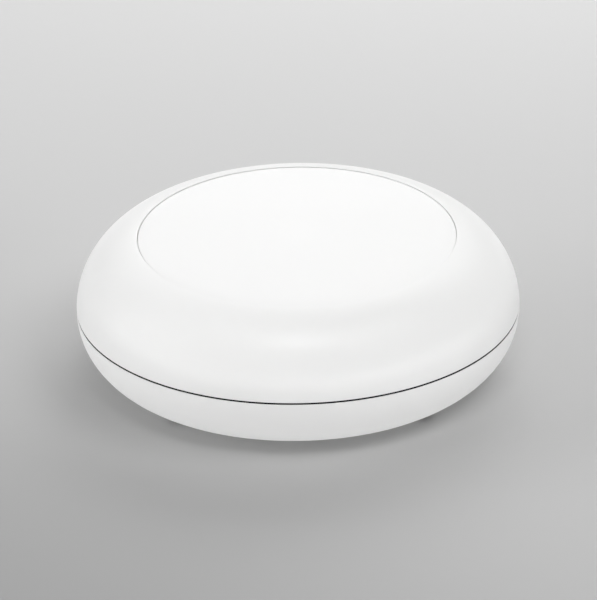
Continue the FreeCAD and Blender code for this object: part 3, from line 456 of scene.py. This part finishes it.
# ---------------------------------------------------------------------------------------------
# Detent: a natural acetal plunger, a bright coil spring wound from 0.5 mm wire with closed ends,
# and a black slotted plug pressed into the top of the tower.

SPRING_FOOT, SPRING_TOP = 0.01055, 0.01500
SPRING_AT = (-0.043, 0.0)
COIL_RADIUS, WIRE_RADIUS, COIL_TURNS = 0.0018, 0.00025, 5
STEPS_PER_TURN, WIRE_SIDES = 72, 14


def coil_spring(foot, top, coil_radius, wire_radius, turns, end_turns=0.9):
    """Round wire along a helix whose height follows a smooth step at each end, so that the end
    turns lie flat: centre = coil_radius (cos t, sin t) and z from the eased height; the section
    is a circle in the outward and upward directions."""
    steps = STEPS_PER_TURN * turns
    t = np.linspace(0.0, 1.0, steps)
    margin = end_turns / turns
    climb = np.clip((t - margin / 2) / (1.0 - margin), 0.0, 1.0)
    climb = climb + 0.02 * np.sin(2 * math.pi * climb)
    lead = np.clip(t / margin, 0, 1) * 0.5 + np.clip((t - 1 + margin) / margin, 0, 1) * 0.5
    height = foot + wire_radius + (top - foot - 2 * wire_radius) * (0.72 * climb + 0.28 * lead)
    angle = 2 * math.pi * turns * t
    around = np.linspace(0.0, 2 * math.pi, WIRE_SIDES, endpoint=False)
    reach = coil_radius + wire_radius * np.cos(around)[None, :]
    x = SPRING_AT[0] + reach * np.cos(angle)[:, None]
    y = SPRING_AT[1] + reach * np.sin(angle)[:, None]
    z = height[:, None] + wire_radius * np.sin(around)[None, :]
    mesh = grid_mesh("coil", steps, WIRE_SIDES, np.stack([x, y, z], -1))
    ends = bpy.data.meshes.new("coil")
    points = np.zeros(len(mesh.vertices) * 3)
    mesh.vertices.foreach_get("co", points)
    faces = [list(face.vertices) for face in mesh.polygons]
    faces += [list(range(WIRE_SIDES))[::-1],
              list(range((steps - 1) * WIRE_SIDES, steps * WIRE_SIDES))]
    ends.from_pydata(points.reshape(-1, 3).tolist(), [], faces)
    ends.update()
    return smoothed(ends, math.radians(50.0))


spring_wire = group_material("bright_spring_wire", METAL, {
    "Tone": (0.55, 0.55, 0.56, 1.0), "Tone spread": 0.10, "Gloss": 0.22, "Gloss spread": 0.12,
    "Mark scale": 4000.0, "Mark depth": 0.12, "Handling": 0.05}, metallic=1.0)
coil = place_piece("wound_spring", coil_spring(SPRING_FOOT, SPRING_TOP, COIL_RADIUS, WIRE_RADIUS,
                                               COIL_TURNS),
                   "housing", "detent_spring", spring_wire)
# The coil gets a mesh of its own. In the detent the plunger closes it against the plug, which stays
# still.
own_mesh(coil)
natural_acetal = group_material("natural_acetal", GRAIN, {
    "Tone": (0.78, 0.76, 0.70, 1.0), "Tone spread": 0.03, "Gloss": 0.30, "Gloss spread": 0.08,
    "Grain scale": 6000.0, "Grain depth": 0.05})
finish_node(natural_acetal, "detent_plunger")
black_moulding = group_material("black_moulding", GRAIN, {
    "Tone": (0.022, 0.022, 0.024, 1.0), "Tone spread": 0.25, "Gloss": 0.42, "Gloss spread": 0.14,
    "Grain scale": 4200.0, "Grain depth": 0.25}, specular=0.4)
finish_node(black_moulding, "detent_cap", "switch_stem")

# ---------------------------------------------------------------------------------------------
# Reset button: a small dished key of mid grey plastic in the roof of the cable bay, over a tact
# switch with a tin case on the underside of the board.

button_grey = group_material("button_grey", GRAIN, {
    "Tone": (0.10, 0.105, 0.115, 1.0), "Tone spread": 0.06, "Gloss": 0.48, "Gloss spread": 0.14,
    "Grain scale": 5200.0, "Grain depth": 0.2})
finish_node(button_grey, "reset_button")
tin_plate = group_material("tin_plate", METAL, {
    "Tone": (0.70, 0.70, 0.69, 1.0), "Tone spread": 0.12, "Gloss": 0.26, "Gloss spread": 0.22,
    "Mark scale": 1500.0, "Mark depth": 0.18, "Handling": 0.14}, metallic=1.0)
finish_node(tin_plate, "reset_switch")

# ---------------------------------------------------------------------------------------------
# Sockets: two shielded eight-way network sockets and a barrel power socket, all soldered to the
# underside of the board, with black bodies, tin shields and gold-flashed spring contacts.

gold_flash = group_material("gold_flash", METAL, {
    "Tone": (0.80, 0.56, 0.22, 1.0), "Tone spread": 0.10, "Gloss": 0.20, "Gloss spread": 0.12,
    "Mark scale": 3000.0, "Mark depth": 0.08, "Handling": 0.05}, metallic=1.0)
finish_node(black_moulding, "poe_jack_body", "lan_jack_body", "dc_jack")
finish_node(tin_plate, "poe_jack_shield", "lan_jack_shield", "dc_jack_pin")
finish_node(gold_flash, "poe_jack_contacts", "lan_jack_contacts")

# ---------------------------------------------------------------------------------------------
# Main board: glass-fibre laminate under green solder resist, with copper tracks showing through
# as lighter lines and a faint weave in the surface.

TRACK_RINGS = 34.0
TRACK_EDGES = (0.25, 0.55)
POUR_SHARE = 0.47


def solder_resist():
    """Group for a circuit board: blocky track pattern in two sizes under the resist, weave in
    the surface."""
    group, start, end = shader_group(
        "solder_resist",
        [("Resist", "colour", (0.02, 0.14, 0.06, 1.0)),
         ("Track", "colour", (0.05, 0.26, 0.12, 1.0)),
         ("Track scale", "value", 260.0), ("Weave scale", "value", 1400.0)],
        [("Colour", "colour"), ("Roughness", "value"), ("Normal", "vector")])
    place = group.nodes.new("ShaderNodeTexCoord")
    cells = group.nodes.new("ShaderNodeTexVoronoi")
    cells.distance = "CHEBYCHEV"
    group.links.new(place.outputs["Object"], cells.inputs["Vector"])
    group.links.new(start.outputs["Track scale"], cells.inputs["Scale"])
    rings = math_node(group, "SINE",
                      math_node(group, "MULTIPLY", cells.outputs["Distance"], TRACK_RINGS))
    lines = group.nodes.new("ShaderNodeMapRange")
    lines.interpolation_type = "SMOOTHSTEP"
    lines.inputs["From Min"].default_value, lines.inputs["From Max"].default_value = TRACK_EDGES
    group.links.new(rings, lines.inputs["Value"])
    pour = noise_node(group, 70.0, 1.0).outputs["Fac"]
    gate = math_node(group, "GREATER_THAN", pour, POUR_SHARE)
    mask = math_node(group, "MULTIPLY", lines.outputs["Result"], gate)
    blend = group.nodes.new("ShaderNodeMix")
    blend.data_type = "RGBA"
    group.links.new(mask, blend.inputs["Factor"])
    group.links.new(start.outputs["Resist"], blend.inputs[6])
    group.links.new(start.outputs["Track"], blend.inputs[7])
    group.links.new(blend.outputs[2], end.inputs["Colour"])
    weave = noise_node(group, start.outputs["Weave scale"], 2.0).outputs["Fac"]
    rough = math_node(group, "ADD", math_node(group, "MULTIPLY", weave, 0.16), 0.24)
    group.links.new(rough, end.inputs["Roughness"])
    bump = group.nodes.new("ShaderNodeBump")
    bump.inputs["Strength"].default_value = 0.35
    bump.inputs["Distance"].default_value = GRAIN_RELIEF
    group.links.new(math_node(group, "ADD", mask, math_node(group, "MULTIPLY", weave, 0.3)),
                    bump.inputs["Height"])
    group.links.new(bump.outputs["Normal"], end.inputs["Normal"])
    return group


board_green = group_material("board_green", solder_resist(), {
    "Resist": (0.012, 0.105, 0.042, 1.0), "Track": (0.035, 0.20, 0.085, 1.0),
    "Track scale": 150.0, "Weave scale": 1500.0})
finish_node(board_green, "main_board")

# ---------------------------------------------------------------------------------------------
# Chips and small parts on the board: black epoxy packages, ceramic capacitors, ferrites, an
# aluminium-cased pair of capacitors and the tinned parts that go with them.

epoxy_black = group_material("epoxy_black", GRAIN, {
    "Tone": (0.020, 0.020, 0.021, 1.0), "Tone spread": 0.35, "Gloss": 0.55, "Gloss spread": 0.2,
    "Grain scale": 9000.0, "Grain depth": 0.35}, specular=0.35)
finish_node(epoxy_black, "processor", "memory_chips", "flash_chip", "radio_chips",
            "ethernet_magnetics")
finish_node(black_moulding, "debug_header", "antenna_supports")
finish_node(gold_flash, "header_pins", "coax_plugs")
finish_node(tin_plate, "crystals", "shield_frames", "shield_lids")
ceramic_brown = group_material("ceramic_brown", GRAIN, {
    "Tone": (0.30, 0.19, 0.11, 1.0), "Tone spread": 0.3, "Gloss": 0.45, "Gloss spread": 0.15,
    "Grain scale": 9000.0, "Grain depth": 0.2})
finish_node(ceramic_brown, "chip_capacitors")
ferrite_grey = group_material("ferrite_grey", GRAIN, {
    "Tone": (0.045, 0.045, 0.050, 1.0), "Tone spread": 0.35, "Gloss": 0.62, "Gloss spread": 0.2,
    "Grain scale": 5000.0, "Grain depth": 0.5}, specular=0.4)
finish_node(ferrite_grey, "poe_transformer", "power_inductors")
drawn_aluminium = group_material("drawn_aluminium", METAL, {
    "Tone": (0.76, 0.76, 0.77, 1.0), "Tone spread": 0.08, "Gloss": 0.24, "Gloss spread": 0.12,
    "Mark scale": 1800.0, "Mark depth": 0.12, "Handling": 0.1}, metallic=1.0)
finish_node(drawn_aluminium, "bulk_capacitors")

# ---------------------------------------------------------------------------------------------
# Status light: a small white package on the board, and a clear acrylic rod that carries its
# light up behind the disc, held in the antenna plate by a collar.

lens_white = group_material("lens_white", GRAIN, {
    "Tone": (0.85, 0.84, 0.76, 1.0), "Tone spread": 0.04, "Gloss": 0.25, "Gloss spread": 0.05,
    "Grain scale": 6000.0, "Grain depth": 0.05})
finish_node(lens_white, "status_led")
clear_acrylic, acrylic_tree, acrylic_shader = new_material("clear_acrylic")
acrylic_shader.inputs["Transmission Weight"].default_value = 1.0
acrylic_shader.inputs["IOR"].default_value = 1.49
acrylic_shader.inputs["Base Color"].default_value = (0.95, 0.97, 0.98, 1.0)
flow = noise_node(acrylic_tree, 900.0, 2.0).outputs["Fac"]
acrylic_tree.links.new(math_node(acrylic_tree, "ADD", math_node(
    acrylic_tree, "MULTIPLY", flow, 0.08), 0.03), acrylic_shader.inputs["Roughness"])
finish_node(clear_acrylic, "light_pipe")

# ---------------------------------------------------------------------------------------------
# Cooling and antenna deck: a cast aluminium spreader on soft pads, brass fixings, and above it
# a brushed ground plate that carries the folded antennas and their coaxial leads.

cast_aluminium = group_material("cast_aluminium", METAL, {
    "Tone": (0.60, 0.61, 0.62, 1.0), "Tone spread": 0.14, "Gloss": 0.46, "Gloss spread": 0.22,
    "Mark scale": 1100.0, "Mark depth": 0.5, "Handling": 0.15}, metallic=1.0)
finish_node(cast_aluminium, "heat_sink")
pad_blue = group_material("pad_blue", GRAIN, {
    "Tone": (0.20, 0.27, 0.38, 1.0), "Tone spread": 0.12, "Gloss": 0.82, "Gloss spread": 0.1,
    "Grain scale": 2400.0, "Grain depth": 0.6}, specular=0.25)
finish_node(pad_blue, "thermal_pads")
turned_brass = group_material("turned_brass", METAL, {
    "Tone": (0.72, 0.50, 0.20, 1.0), "Tone spread": 0.12, "Gloss": 0.27, "Gloss spread": 0.16,
    "Mark scale": 2400.0, "Mark depth": 0.2, "Handling": 0.12}, metallic=1.0)
finish_node(turned_brass, "brass_inserts", "board_standoffs")
brushed_plate = group_material("brushed_plate", METAL, {
    "Tone": (0.74, 0.74, 0.74, 1.0), "Tone spread": 0.16, "Gloss": 0.30, "Gloss spread": 0.22,
    "Mark scale": 800.0, "Mark depth": 0.25, "Handling": 0.08}, metallic=1.0)
finish_node(brushed_plate, "antenna_plate")
finish_node(tin_plate, "antennas_24ghz", "antennas_5ghz")
coax_black = group_material("coax_black", GRAIN, {
    "Tone": (0.025, 0.025, 0.027, 1.0), "Tone spread": 0.2, "Gloss": 0.5, "Gloss spread": 0.12,
    "Grain scale": 5000.0, "Grain depth": 0.15})
finish_node(coax_black, "coax_leads")

# ---------------------------------------------------------------------------------------------
# Rating label: a blank silver-white film stuck to the recess floor under the bracket.

label_film = group_material("label_film", GRAIN, {
    "Tone": (0.74, 0.75, 0.76, 1.0), "Tone spread": 0.03, "Gloss": 0.36, "Gloss spread": 0.08,
    "Grain scale": 2600.0, "Grain depth": 0.06})
finish_node(label_film, "rating_label")

# ---------------------------------------------------------------------------------------------
# Camera and studio: a long lens 26 degrees above the floor, a sheet of pale paper on a light
# table for the floor, broad softboxes behind and to both sides, and three small ones for sheen.

ELEVATION, ROLL = math.radians(26.32), math.radians(-1.02)
DISTANCE, LENS = 5.333, 890.4
AIM_RIGHT, AIM_UP = 0.0002, 0.00163
lens = bpy.data.cameras.new("long_lens")
lens.type = "PERSP"
lens.sensor_fit = "HORIZONTAL"
lens.sensor_width = 36.0
lens.lens = LENS
lens.clip_start, lens.clip_end = 0.5, 20.0
camera = bpy.data.objects.new("long_lens", lens)
bpy.context.scene.collection.objects.link(camera)
camera_back = Vector((0.0, -math.cos(ELEVATION), math.sin(ELEVATION)))
camera_up = Vector((0.0, math.sin(ELEVATION), math.cos(ELEVATION)))
aim = Vector((AIM_RIGHT, 0.0, SEAM_HEIGHT)) + camera_up * AIM_UP
turn = camera_back.to_track_quat("Z", "Y").to_matrix() @ Matrix.Rotation(ROLL, 3, "Z")
camera.matrix_world = Matrix.Translation(aim + camera_back * DISTANCE) @ turn.to_4x4()
bpy.context.scene.camera = camera

paper, paper_tree, paper_shader = new_material("studio_paper", specular=0.2)
paper_shader.inputs["Roughness"].default_value = 0.9
# Painted light and shade: the paper's colour falls off smoothly towards the front left, lightest to
# the back right, standing in for the way the light falls across the floor.
PAPER_SHADED, PAPER_LIT = 0.337, 0.478
SHADE_HEADING, SHADE_START, SHADE_END = (0.8, 0.6, 0.0), -0.24, 0.03
paper_place = paper_tree.nodes.new("ShaderNodeTexCoord")
along_painted_shade = paper_tree.nodes.new("ShaderNodeVectorMath")
along_painted_shade.operation = "DOT_PRODUCT"
along_painted_shade.inputs[1].default_value = SHADE_HEADING
paper_tree.links.new(paper_place.outputs["Object"], along_painted_shade.inputs[0])
painted_shade = paper_tree.nodes.new("ShaderNodeMapRange")
painted_shade.interpolation_type = "SMOOTHSTEP"
for label, value in (("From Min", SHADE_START), ("From Max", SHADE_END),
                     ("To Min", PAPER_SHADED), ("To Max", PAPER_LIT)):
    painted_shade.inputs[label].default_value = value
paper_tree.links.new(along_painted_shade.outputs["Value"], painted_shade.inputs["Value"])
paper_tree.links.new(painted_shade.outputs["Result"], paper_shader.inputs["Base Color"])
# The table lights what stands on it softly from below: its glow falls off over a few
# centimetres, and the paper itself stays matt grey.
TABLE_GLOW, GLOW_REACH = 0.32, 0.03
ray = paper_tree.nodes.new("ShaderNodeLightPath")
unseen = math_node(paper_tree, "SUBTRACT", 1.0, ray.outputs["Is Camera Ray"])
reach = math_node(paper_tree, "MULTIPLY", ray.outputs["Ray Length"], 1.0 / GLOW_REACH)
fade = math_node(paper_tree, "ADD", math_node(paper_tree, "MULTIPLY", reach, reach), 1.0)
glow = math_node(paper_tree, "DIVIDE", math_node(paper_tree, "MULTIPLY", unseen, TABLE_GLOW), fade)
paper_shader.inputs["Emission Color"].default_value = (1.0, 1.0, 1.0, 1.0)
paper_tree.links.new(glow, paper_shader.inputs["Emission Strength"])
see_through = paper_tree.nodes.new("ShaderNodeBsdfTransparent")
facing = paper_tree.nodes.new("ShaderNodeNewGeometry")
choice = paper_tree.nodes.new("ShaderNodeMixShader")
paper_tree.links.new(facing.outputs["Backfacing"], choice.inputs["Fac"])
paper_tree.links.new(paper_shader.outputs["BSDF"], choice.inputs[1])
paper_tree.links.new(see_through.outputs["BSDF"], choice.inputs[2])
paper_tree.links.new(choice.outputs["Shader"],
                     paper_tree.nodes["Material Output"].inputs["Surface"])
FLOOR_REACH, FLOOR_LEVEL = 4.0, -0.0002
floor_mesh = bpy.data.meshes.new("paper_floor")
floor_mesh.from_pydata([(x * FLOOR_REACH, y * FLOOR_REACH, FLOOR_LEVEL)
                        for x, y in ((-1, -1), (1, -1), (1, 1), (-1, 1))], [], [(0, 1, 2, 3)])
floor_mesh.materials.append(paper)
floor = bpy.data.objects.new("paper_floor", floor_mesh)
bpy.context.scene.collection.objects.link(floor)


def softbox(name, place, target, width, height, power):
    """Rectangular soft light aimed at a point."""
    light = bpy.data.lights.new(name, "AREA")
    light.shape = "RECTANGLE"
    light.size, light.size_y = width, height
    light.energy = power
    lamp = bpy.data.objects.new(name, light)
    bpy.context.scene.collection.objects.link(lamp)
    away = Vector(place) - Vector(target)
    lamp.matrix_world = (Matrix.Translation(Vector(place))
                         @ away.to_track_quat("Z", "Y").to_matrix().to_4x4())
    return lamp


MIDDLE = (0.0, 0.0, 0.03)


def from_around(azimuth, elevation, distance):
    """Point at a distance from the casing: azimuth 0 is behind it and 90 its right."""
    turn, rise = math.radians(azimuth), math.radians(elevation)
    level = distance * math.cos(rise)
    return (level * math.sin(turn), level * math.cos(turn), MIDDLE[2] + distance * math.sin(rise))


BOX_SHAPE = 0.7
for label, azimuth, elevation, distance, width, power, sheen in (
        ("right_rear_softbox", 20.0, 32.0, 0.85, 0.60, 3.5, False),
        ("rear_softbox", 0.0, 32.0, 0.85, 0.60, 2.0, False),
        ("left_rear_softbox", -50.0, 32.0, 0.85, 0.60, 1.0, False),
        ("right_front_softbox", 120.0, 55.0, 1.80, 1.20, 13.0, False),
        ("left_softbox", -90.0, 20.0, 1.80, 1.20, 11.0, False),
        ("front_sheen", 180.0, 62.0, 1.20, 0.35, 2.0, True),
        ("left_sheen", -110.0, 62.0, 1.20, 0.35, 0.5, True),
        ("rear_sheen", -6.0, 27.0, 1.30, 0.40, 0.5, True)):
    place = from_around(azimuth, elevation, distance)
    softbox(label, place, MIDDLE, width, BOX_SHAPE * width, power).visible_glossy = sheen

# The room is white card: a pale ceiling, a low strip of light at the front left and one at the
# front right that reach in under the casing's widest line, and a softer panel a third of the
# way up at the front left.
world = bpy.data.worlds.new("studio_room")
bpy.context.scene.world = world
world.use_nodes = True
room = world.node_tree
direction = room.nodes.new("ShaderNodeTexCoord")
parts = room.nodes.new("ShaderNodeSeparateXYZ")
room.links.new(direction.outputs["Generated"], parts.inputs["Vector"])
height = math_node(room, "MAXIMUM", parts.outputs["Z"], 0.0)
level_reach = math_node(room, "POWER", math_node(room, "MAXIMUM", math_node(
    room, "SUBTRACT", 1.0, math_node(room, "MULTIPLY", height, height)), 0.0001), 0.5)


def towards(azimuth):
    """Soft lobe round the room: ((1 + cos of the angle from an azimuth) / 2) cubed.  Azimuth 0
    is the front and 90 the right."""
    angle = math.radians(azimuth)
    across = math_node(room, "MULTIPLY", parts.outputs["X"], math.sin(angle))
    along = math_node(room, "MULTIPLY", parts.outputs["Y"], -math.cos(angle))
    cosine = math_node(room, "DIVIDE", math_node(room, "ADD", across, along), level_reach)
    half = math_node(room, "MULTIPLY", math_node(room, "ADD", cosine, 1.0), 0.5)
    return math_node(room, "POWER", half, 3.0)


LOW_STRIPS = ((315.0, 9.0), (45.0, 10.0))
FRONT_PANEL, CEILING = 0.3, 0.3
PANEL_AZIMUTH, PANEL_HEIGHT, PANEL_FALL, STRIP_FALL = 315.0, 0.35, 10.0, 16.0
low_band = math_node(room, "POWER", math_node(room, "SUBTRACT", 1.0, height), STRIP_FALL)
strips = 0.0
for azimuth, strength in LOW_STRIPS:
    strips = math_node(room, "ADD", strips, math_node(room, "MULTIPLY", towards(azimuth), strength))
offset = math_node(room, "SUBTRACT", height, PANEL_HEIGHT)
panel = math_node(room, "MAXIMUM", math_node(room, "SUBTRACT", 1.0, math_node(
    room, "MULTIPLY", math_node(room, "MULTIPLY", offset, offset), PANEL_FALL)))
panel = math_node(room, "MULTIPLY",
                  math_node(room, "MULTIPLY", panel, towards(PANEL_AZIMUTH)), FRONT_PANEL)
overhead = math_node(room, "MULTIPLY", math_node(room, "MULTIPLY", height, height), CEILING)
level = math_node(room, "ADD", math_node(room, "MULTIPLY", low_band, strips),
                  math_node(room, "ADD", panel, overhead))
room.links.new(level, room.nodes["Background"].inputs["Strength"])
room.nodes["Background"].inputs["Color"].default_value = (1.0, 1.0, 1.0, 1.0)
bpy.context.scene.view_settings.view_transform = "Standard"
bpy.context.scene.view_settings.look = "None"
